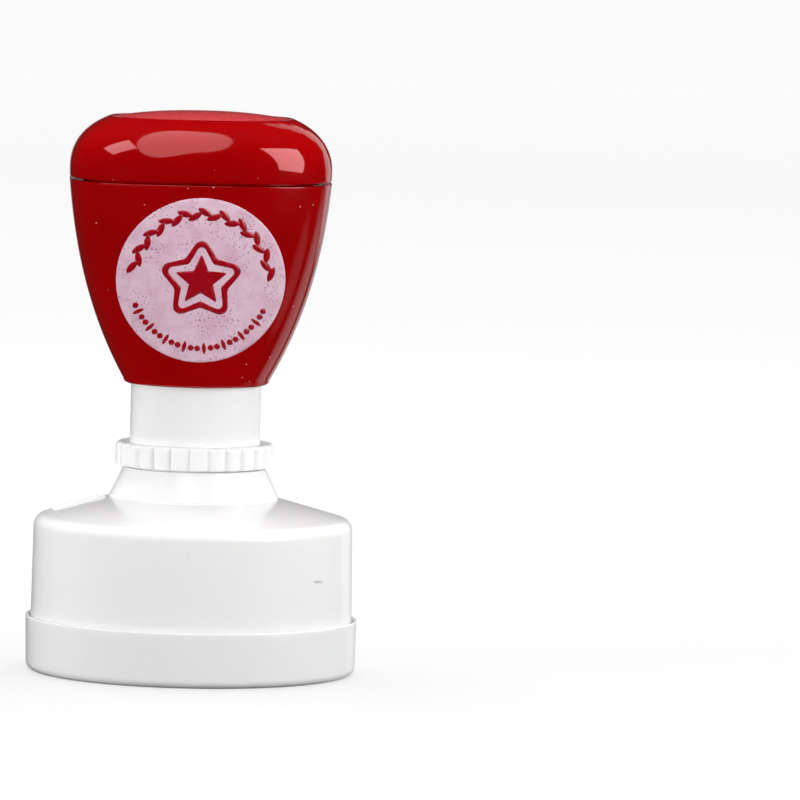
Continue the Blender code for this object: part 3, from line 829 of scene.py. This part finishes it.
def make_adjusting_ring():
    bore = SLEEVE_RADIUS + 0.12
    edge, low_edge = 0.7, 0.25
    levels = [(circle(bore + 0.2), RING_TOP)]
    levels += [(circle(r), RING_TOP) for r in (11.0, RING_RADIUS - edge - 0.1)]
    for k in range(7):
        turn = math.radians(90 - 15 * k)
        share = k / 6
        radius = RING_RADIUS - edge + edge * math.cos(turn)
        z = RING_TOP - edge + edge * math.sin(turn)
        levels.append((lobed(radius, RING_LOBE_DEPTH * share), z))
    for z in (34.6, 34.0, 33.4, RING_BOTTOM + low_edge):
        levels.append((lobed(RING_RADIUS, RING_LOBE_DEPTH), z))
    for k in (1, 2, 3):
        turn = math.radians(30 * k)
        radius = RING_RADIUS - low_edge + low_edge * math.cos(turn)
        z = RING_BOTTOM + low_edge - low_edge * math.sin(turn)
        levels.append((lobed(radius, RING_LOBE_DEPTH), z))
    levels += [(circle(bore + 0.1), RING_BOTTOM), (circle(bore), RING_BOTTOM + 0.15)]
    levels.append((circle(bore), RING_TOP - 0.2))
    around = RING_LOBES * 16
    ring = skin("adjusting_ring_skin", levels, ring_white, segments=around, turn=RING_TURN)
    place(ring, "adjuster", "white_plastic", "adjusting_ring")


# ---------------------------------------------------------------- handle and cap


def tapered(size, taper, share):
    """A half width or half depth that shrinks to the foot's radius on the way down."""
    fall = sum(part * share ** (i + 1) for i, part in enumerate(taper))
    return size - (size - HANDLE_FOOT_RADIUS) * fall


def handle_size(z, inset=0.0):
    """Half width, half depth and squareness of the handle at a height."""
    share = (HANDLE_TOP - z) / (HANDLE_TOP - HANDLE_BOTTOM)
    half_width = tapered(HANDLE_HALF_WIDTH, WIDTH_TAPER, share)
    half_depth = tapered(HANDLE_HALF_DEPTH, DEPTH_TAPER, share)
    return half_width - inset, half_depth - inset, 3.0 - share**2


def handle_section(z, inset=0.0):
    return oval(*handle_size(z, inset))


def cap_section(z, inset=0.0):
    rise = max(z - CAP_WIDEST_Z, 0) / CAP_CROWN
    inset += HANDLE_HALF_WIDTH * (1 - (1 - rise**CAP_RISE_CURVE) ** (1 / CAP_SIDE_CURVE))
    return oval(HANDLE_HALF_WIDTH - inset, HANDLE_HALF_DEPTH - inset, 3.0 - 0.8 * rise**2)


def make_handle_shell():
    """Hollow taper with a guide bore in its foot, and a ribbed deck with a screw boss."""
    guide_bore = SLEEVE_RADIUS + GAP
    rim = rounded(
        [
            (HANDLE_WALL, HANDLE_TOP - 0.4),
            (HANDLE_WALL, HANDLE_TOP, 0.15),
            (0.0, HANDLE_TOP, 0.16),
            (0.0, HANDLE_TOP - 0.5),
        ]
    )
    levels = [(handle_section(z, inset), z) for inset, z in rim]
    foot = HANDLE_BOTTOM + HANDLE_FOOT_FILLET
    count = 56
    for i in range(1, count + 1):
        z = HANDLE_TOP - 0.5 + (foot - HANDLE_TOP + 0.5) * i / count
        levels.append((handle_section(z), z))
    for k in range(1, 8):
        turn = math.radians(90 * k / 7)
        inset = HANDLE_FOOT_FILLET * (1 - math.cos(turn))
        levels.append((handle_section(foot, inset), foot - HANDLE_FOOT_FILLET * math.sin(turn)))
    levels += [(circle(guide_bore + 0.15), HANDLE_BOTTOM), (circle(guide_bore), HANDLE_BOTTOM + 0.15)]
    levels.append((circle(guide_bore), GUIDE_BORE_TOP))
    for z in (52.0, 56.0, 61.0, DECK_BOTTOM):
        levels.append((handle_section(z, HANDLE_WALL), z))
    boss = rounded(
        [
            (8.0, DECK_BOTTOM),
            (PILOT_RADIUS, DECK_BOTTOM, 0.1),
            (PILOT_RADIUS, BOSS_TOP, 0.2),
            (BOSS_RADIUS, BOSS_TOP, 0.3),
            (BOSS_RADIUS, DECK_TOP, 0.4),
            (7.0, DECK_TOP),
        ]
    )
    levels += [(circle(r), z) for r, z in boss]
    levels += [(handle_section(z, HANDLE_WALL), z) for z in (DECK_TOP, 73.0)]
    shell = skin("handle_shell_skin", levels, red_body, segments=256)
    root = BOSS_RADIUS - 0.4
    for i in range(DECK_RIBS):
        size = (DECK_RIB_REACH - root, DECK_RIB_WIDTH, DECK_RIB_HEIGHT)
        middle = ((DECK_RIB_REACH + root) / 2, 0, DECK_TOP + 1.0)
        turn = math.radians(45) + math.tau * i / DECK_RIBS
        rib = rounded_box(f"rib_{i}", size, middle, red_body, turn, edge=0.2)
        cut_or_join(shell, rib, "UNION")
    place(shell, "plunger", "gloss_red", "handle_shell")


def make_handle_cap():
    """Dome with a recess for the window on top and a tongue that plugs into the handle."""
    recess = oval(WINDOW_HALF_WIDTH + 0.08, WINDOW_HALF_DEPTH + 0.08)
    lip = oval(WINDOW_HALF_WIDTH + 0.35, WINDOW_HALF_DEPTH + 0.35)
    levels = [(recess, WINDOW_RECESS_Z), (recess, CAP_TOP - 0.12), (lip, CAP_TOP + 0.02)]
    count = 28
    for i in range(count + 1):
        z = CAP_TOP - (CAP_TOP - CAP_WIDEST_Z) * (1 - math.cos(math.pi / 2 * i / count))
        levels.append((cap_section(z), z))
    edge = rounded(
        [
            (0.0, CAP_WIDEST_Z - 0.4),
            (0.0, CAP_BOTTOM, 0.18),
            (1.0, CAP_BOTTOM, 0.1),
            (1.0, CAP_BOTTOM + 0.3),
        ]
    )
    levels += [(cap_section(CAP_BOTTOM, inset), z) for inset, z in edge]
    tongue_out, tongue_in = HANDLE_WALL + GAP, HANDLE_WALL + GAP + 1.0
    levels += [
        (handle_section(HANDLE_TOP, tongue_out), CAP_BOTTOM + 0.3),
        (handle_section(CAP_TONGUE_BOTTOM + 0.3, tongue_out), CAP_TONGUE_BOTTOM + 0.3),
        (handle_section(CAP_TONGUE_BOTTOM, tongue_out + 0.2), CAP_TONGUE_BOTTOM),
        (handle_section(CAP_TONGUE_BOTTOM, tongue_in), CAP_TONGUE_BOTTOM),
        (cap_section(81.0, tongue_in), 81.0),
        (cap_section(84.2, tongue_in), CAP_CEILING - 1.0),
        (cap_section(85.0, tongue_in), CAP_CEILING - 0.3),
        (cap_section(85.6, tongue_in + 0.3), CAP_CEILING),
    ]
    cap = skin("handle_cap_skin", levels, red_cap, closed=False, segments=256)
    place(cap, "handle_cap", "gloss_red", "handle_cap")


def make_index_window():
    """Printed card in the cap's recess, and the low clear dome over it."""
    card = oval(WINDOW_HALF_WIDTH - 0.1, WINDOW_HALF_DEPTH - 0.1)
    top = WINDOW_RECESS_Z + 0.45
    slip = skin("index_card_skin", [(card, top), (card, top - 0.25)], card_stock, closed=False)
    place(slip, "handle_cap", "label_print", "index_card")
    marks = [(star(6.4, 3.0, 0.3), star(5.5, 2.45, 0.25))]
    marks += rays(half_width=8.9, half_depth=7.6, length=1.7, width=0.55)
    art = plate("index_card_print", marks, flat_at(top + 0.03), 0.02, ink_pale)
    place(art, "handle_cap", "label_print")
    bottom = WINDOW_RECESS_Z + 0.75
    edge_top = CAP_TOP - 0.08
    levels = []
    for share in (0.04, 0.2, 0.4, 0.55, 0.68, 0.78, 0.86, 0.92, 0.96, 0.985, 1.0):
        z = edge_top + (WINDOW_TOP - edge_top) * (1 - share**2.4)
        levels.append((oval(WINDOW_HALF_WIDTH * share, WINDOW_HALF_DEPTH * share), z))
    levels.append((oval(WINDOW_HALF_WIDTH, WINDOW_HALF_DEPTH), bottom))
    window = skin("index_window_skin", levels, clear, closed=False)
    window.visible_shadow = False
    place(window, "handle_cap", "clear_plastic", "index_window")


# ---------------------------------------------------------------- front label


def on_handle(lift):
    """Places flat label points on the curved front of the handle."""

    def place_at(u, v):
        z = LABEL_CENTRE_Z + v * math.cos(LABEL_TILT)
        half_width, half_depth, exponent = handle_size(z)
        y = -half_depth * (1 - abs(u / half_width) ** exponent) ** (1 / exponent)
        return Vector((u, y - lift, z))

    return place_at


def make_front_label():
    """Pale disc with a star, a wreath of leaves above it and a row of beads below."""
    edge = []
    count = 240
    for i in range(count):
        degrees = 360 * i / count
        radius = LABEL_RADIUS
        if LABEL_RAGGED[0] < degrees < LABEL_RAGGED[1] and i % 2:
            radius -= 0.14
        edge.append(polar(radius, degrees))
    label = plate("front_label_skin", [edge], on_handle(0.05), 0.04, ink_pale)
    place(label, "plunger", "label_print", "front_label")
    marks = [star(4.3, 1.95, 0.15), (star(7.4, 4.3, 1.2), star(6.1, 3.25, 0.7))]
    for i in range(WREATH_LEAVES):
        degrees = WREATH_START - WREATH_STEP * i
        side = 1 if i % 2 else -1
        centre = polar(WREATH_RADIUS - side * WREATH_STAGGER, degrees)
        marks.append(leaf(2.5, 1.05, centre, math.radians(degrees - 90 + side * WREATH_LEAN)))
    for i in range(BEADS):
        degrees = BEAD_START + BEAD_STEP * i
        length, width = (1.9, 0.62) if i % 3 == 1 else (1.0, 0.95)
        marks.append(leaf(length, width, polar(BEAD_RADIUS, degrees), math.radians(degrees)))
    art = plate("front_label_print", marks, on_handle(0.075), 0.03, ink)
    place(art, "plunger", "label_print")


# ---------------------------------------------------------------- inside pieces


def make_return_spring():
    """Coil with closed ends."""
    form = bmesh.new()
    per_turn, around = 40, 12
    count = SPRING_TURNS * per_turn
    share_per_end = 2 * WIRE_RADIUS / (SPRING_HIGH - SPRING_LOW)
    rings = []
    for i in range(count + 1):
        turn = i / per_turn
        if turn < 1:
            share = share_per_end * turn
        elif turn > SPRING_TURNS - 1:
            share = 1 - share_per_end * (SPRING_TURNS - turn)
        else:
            share = share_per_end + (1 - 2 * share_per_end) * (turn - 1) / (SPRING_TURNS - 2)
        angle = math.tau * turn
        out = Vector((math.cos(angle), math.sin(angle), 0))
        height = SPRING_LOW + share * (SPRING_HIGH - SPRING_LOW)
        middle = out * SPRING_RADIUS + Vector((0, 0, height))
        ring = []
        for k in range(around):
            spoke = math.tau * k / around
            offset = out * math.cos(spoke) + Vector((0, 0, 1)) * math.sin(spoke)
            ring.append(form.verts.new((middle + offset * WIRE_RADIUS) * MM))
        rings.append(ring)
    for near, far in zip(rings, rings[1:]):
        for k in range(around):
            j = (k + 1) % around
            form.faces.new((near[k], far[k], far[j], near[j]))
    form.faces.new(rings[0])
    form.faces.new(reversed(rings[-1]))
    bmesh.ops.recalc_face_normals(form, faces=form.faces[:])
    spring = object_of("return_spring_skin", form, steel, sharp=math.radians(60))
    place(spring, "spring_seat", "spring_steel", "return_spring")
    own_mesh(spring)


def make_stamp_die():
    """Rubber disc with a raised star outline and rays."""
    profile = rounded(
        [
            (0.5, DIE_TOP),
            (DIE_FLANGE_RADIUS, DIE_TOP, 0.1),
            (DIE_FLANGE_RADIUS, DIE_FLANGE_Z, 0.1),
            (DIE_RADIUS, DIE_FLANGE_Z, 0.1),
            (DIE_RADIUS, DIE_FACE, 0.15),
            (0.5, DIE_FACE),
        ]
    )
    disc = turned("stamp_die_skin", profile, rubber, closed=False)
    place(disc, "plunger", "die_rubber", "stamp_die")
    marks = [(star(12.0, 5.4, 0.6), star(11.1, 4.85, 0.5))]
    marks += rays(half_width=14.6, half_depth=14.6, length=3.6, width=1.0)
    relief = plate("stamp_die_relief", marks, flat_at(DIE_FACE + 0.05), RELIEF + 0.05, rubber)
    place(relief, "plunger", "die_rubber")


def make_die_retaining_ring():
    """Thin ring round the die's cup, with a lip just below the die's flange."""
    lip_bore = DIE_RADIUS + GAP
    profile = rounded(
        [
            (DIE_RING_BORE + 0.3, DIE_RING_TOP),
            (DIE_RING_RADIUS, DIE_RING_TOP, 0.15),
            (DIE_RING_RADIUS, DIE_RING_BOTTOM, 0.5),
            (lip_bore, DIE_RING_BOTTOM, 0.2),
            (lip_bore, DIE_RING_BOTTOM + DIE_RING_LIP, 0.1),
            (DIE_RING_BORE, DIE_RING_BOTTOM + DIE_RING_LIP, 0.1),
            (DIE_RING_BORE, DIE_RING_TOP - 0.2),
        ]
    )
    ring = turned("die_ring_skin", profile, inner_white)
    place(ring, "plunger", "white_plastic", "die_retaining_ring")


def make_handle_screw():
    """Pan-head screw with a cross recess, and its washer, seen when the cap is off."""
    bottom = BOSS_TOP + GAP
    seat = bottom + WASHER_THICKNESS + GAP
    profile = rounded(
        [
            (0.3, seat + SCREW_HEAD_HEIGHT),
            (1.9, seat + SCREW_HEAD_HEIGHT - 0.05, 0.4),
            (SCREW_HEAD_RADIUS, seat + 0.7, 1.1),
            (SCREW_HEAD_RADIUS, seat, 0.12),
            (SCREW_SHANK_RADIUS, seat, 0.1),
            (SCREW_SHANK_RADIUS, seat - SCREW_LENGTH + 1.3),
            (0.2, seat - SCREW_LENGTH),
        ],
        steps=6,
    )
    screw = turned("handle_screw_skin", profile, steel, closed=False, segments=96)
    for i in range(2):
        turn = math.radians(90 * i)
        centre = (0, 0, seat + SCREW_HEAD_HEIGHT)
        slot = rounded_box(f"slot_{i}", SCREW_SLOT, centre, steel, turn, edge=0.08)
        cut_or_join(screw, slot, "DIFFERENCE")
    place(screw, "plunger", "spring_steel", "handle_screw")
    washer = rounded(
        [
            (WASHER_BORE, bottom + WASHER_THICKNESS - 0.1),
            (WASHER_BORE + 0.1, bottom + WASHER_THICKNESS),
            (WASHER_RADIUS, bottom + WASHER_THICKNESS, 0.12),
            (WASHER_RADIUS, bottom, 0.12),
            (WASHER_BORE, bottom + 0.05),
        ]
    )
    disc = turned("screw_washer_skin", washer, steel, segments=96)
    place(disc, "plunger", "spring_steel", "screw_washer")


def dress_cad_nodes():
    """Gives the hidden CAD nodes that stay their procedural finishes."""
    finishes = {"die_carrier": inner_white, "ink_pad": felt, "spring_washer": steel}
    for node, finish in finishes.items():
        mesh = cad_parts[node].data
        mesh.materials.clear()
        mesh.materials.append(finish)


# ---------------------------------------------------------------- studio


def make_floor():
    """Wide pale floor that glows softly, so that it stays pale to the horizon."""
    form = bmesh.new()
    bmesh.ops.create_circle(form, cap_ends=True, segments=96, radius=FLOOR_RADIUS)
    bmesh.ops.translate(form, vec=(0, 0, FLOOR_Z), verts=form.verts)
    made = Shader("studio_floor", Roughness=0.6, Specular_IOR_Level=0.0)
    made.principled.inputs["Emission Color"].default_value = (1, 1, 1, 1)
    tone = made.ramp(made.noise(3, 2), [(0.3, (0.24, 0.24, 0.24)), (0.7, (0.26, 0.26, 0.26))])
    reach = made.node("ShaderNodeVectorMath", operation="LENGTH")
    made.link(made.coords, reach.inputs[0])
    distance = made.math("DIVIDE", reach.outputs["Value"], FLOOR_GLOW_REACH)
    glow = made.ramp(distance, FLOOR_GLOW)
    floor = object_of("studio_floor", form, made.paint(Base_Color=tone, Emission_Strength=glow))
    floor.visible_glossy = False
    floor.visible_diffuse = False


def direction(turn, rise):
    """Unit vector at an azimuth from -Y towards +X, and an elevation."""
    return Vector((math.sin(turn) * math.cos(rise), -math.cos(turn) * math.cos(rise), math.sin(rise)))


def softbox(name, azimuth, elevation, roll, spread, radiance, shape, lights_up):
    """A soft light round the stamp. Its direction, roll and spread are in degrees."""
    size = [2 * LIGHT_DISTANCE * math.tan(math.radians(angle / 2)) for angle in spread]
    area = size[0] * size[1] * (math.pi / 4 if shape == "ELLIPSE" else 1)
    light = bpy.data.lights.new(name, "AREA")
    light.shape = shape
    light.size, light.size_y = size
    light.energy = radiance * math.pi * area
    obj = bpy.data.objects.new(name, light)
    bpy.context.scene.collection.objects.link(obj)
    towards = direction(math.radians(azimuth), math.radians(elevation))
    obj.location = Vector((0, 0, LIGHT_AIM_Z)) + towards * LIGHT_DISTANCE
    turned_round = Quaternion((0, 0, 1), math.radians(roll))
    obj.rotation_euler = (towards.to_track_quat("Z", "Y") @ turned_round).to_euler()
    obj.visible_camera = False
    obj.visible_glossy = lights_up != "body"
    obj.visible_diffuse = lights_up != "gloss"


def make_studio():
    """Dim room with glowing panels behind the stamp, and the soft lights round it."""
    scene = bpy.context.scene
    world = bpy.data.worlds.new("studio")
    scene.world = world
    world.use_nodes = True
    tree = world.node_tree
    toward = added(tree, "ShaderNodeTexCoord").outputs["Generated"]
    level_here = None
    for azimuth, elevation, inner, outer, level in PANELS:
        facing = added(tree, "ShaderNodeVectorMath", operation="DOT_PRODUCT")
        facing.inputs[1].default_value = direction(math.radians(azimuth), math.radians(elevation))
        tree.links.new(toward, facing.inputs[0])
        glow = added(tree, "ShaderNodeMapRange", interpolation_type="SMOOTHSTEP")
        glow.inputs["From Min"].default_value = math.cos(math.radians(outer))
        glow.inputs["From Max"].default_value = math.cos(math.radians(inner))
        glow.inputs["To Max"].default_value = level
        tree.links.new(facing.outputs["Value"], glow.inputs["Value"])
        brighter = added(tree, "ShaderNodeMath", operation="MAXIMUM")
        brighter.inputs[1].default_value = ROOM_LEVEL
        tree.links.new(glow.outputs["Result"], brighter.inputs[0])
        if level_here:
            tree.links.new(level_here, brighter.inputs[1])
        level_here = brighter.outputs["Value"]
    tree.links.new(level_here, tree.nodes["Background"].inputs["Strength"])
    tree.nodes["Background"].inputs["Color"].default_value = (1, 1, 1, 1)
    for light in SOFTBOXES:
        softbox(*light)
    scene.view_settings.view_transform = "Standard"


def make_camera():
    """Long lens, a little above the stamp, which stands in the left of the frame."""
    camera = bpy.data.cameras.new("camera")
    camera.sensor_width = SENSOR
    camera.lens = SENSOR * FOCAL_PX / FRAME_PX
    camera.clip_start, camera.clip_end = 0.05, 100.0
    obj = bpy.data.objects.new("camera", camera)
    bpy.context.scene.collection.objects.link(obj)
    aim = Vector((0, 0, AIM_Z))
    back = direction(CAMERA_AZIMUTH, CAMERA_ELEVATION)
    right = Vector((0, 0, 1)).cross(back).normalized()
    up = back.cross(right)
    cos_roll, sin_roll = math.cos(CAMERA_ROLL), math.sin(CAMERA_ROLL)
    across = AIM_PX[0] * cos_roll - AIM_PX[1] * sin_roll
    along = AIM_PX[0] * sin_roll + AIM_PX[1] * cos_roll
    view_back = (back + right * across / FOCAL_PX + up * along / FOCAL_PX).normalized()
    flat_right = (right - view_back * right.dot(view_back)).normalized()
    flat_up = view_back.cross(flat_right)
    rolled_right = flat_right * cos_roll + flat_up * sin_roll
    rolled_up = view_back.cross(rolled_right)
    turn = Matrix((rolled_right, rolled_up, view_back)).transposed()
    obj.matrix_world = Matrix.Translation((aim + back * CAMERA_DISTANCE) * MM) @ turn.to_4x4()
    bpy.context.scene.camera = obj


# ---------------------------------------------------------------- build

housing_white = white_plastic("housing_moulding", 0.87, 0.17, HOUSING_SCUFF)
neck_white = white_plastic("neck_moulding", 0.87, 0.20)
ring_white = white_plastic("ring_moulding", 0.90, 0.21)
inner_white = white_plastic("inner_moulding", 0.80, 0.21)
cover_white = white_plastic("cover_moulding", 0.85, 0.20)
red_body = red_plastic("gloss_red_body", 0.10)
red_cap = red_plastic("gloss_red_cap", 0.05)
ink_pale = label_ink()
ink = print_red()
card_stock = card_paper()
clear = clear_plastic()
rubber = die_rubber()
felt = ink_felt()
steel = spring_steel()

make_dust_cover()
make_outer_housing()
make_neck_sleeve()
make_adjusting_ring()
make_handle_shell()
make_handle_cap()
make_index_window()
make_front_label()
make_return_spring()
make_stamp_die()
make_die_retaining_ring()
make_handle_screw()
dress_cad_nodes()
make_floor()
make_studio()
make_camera()
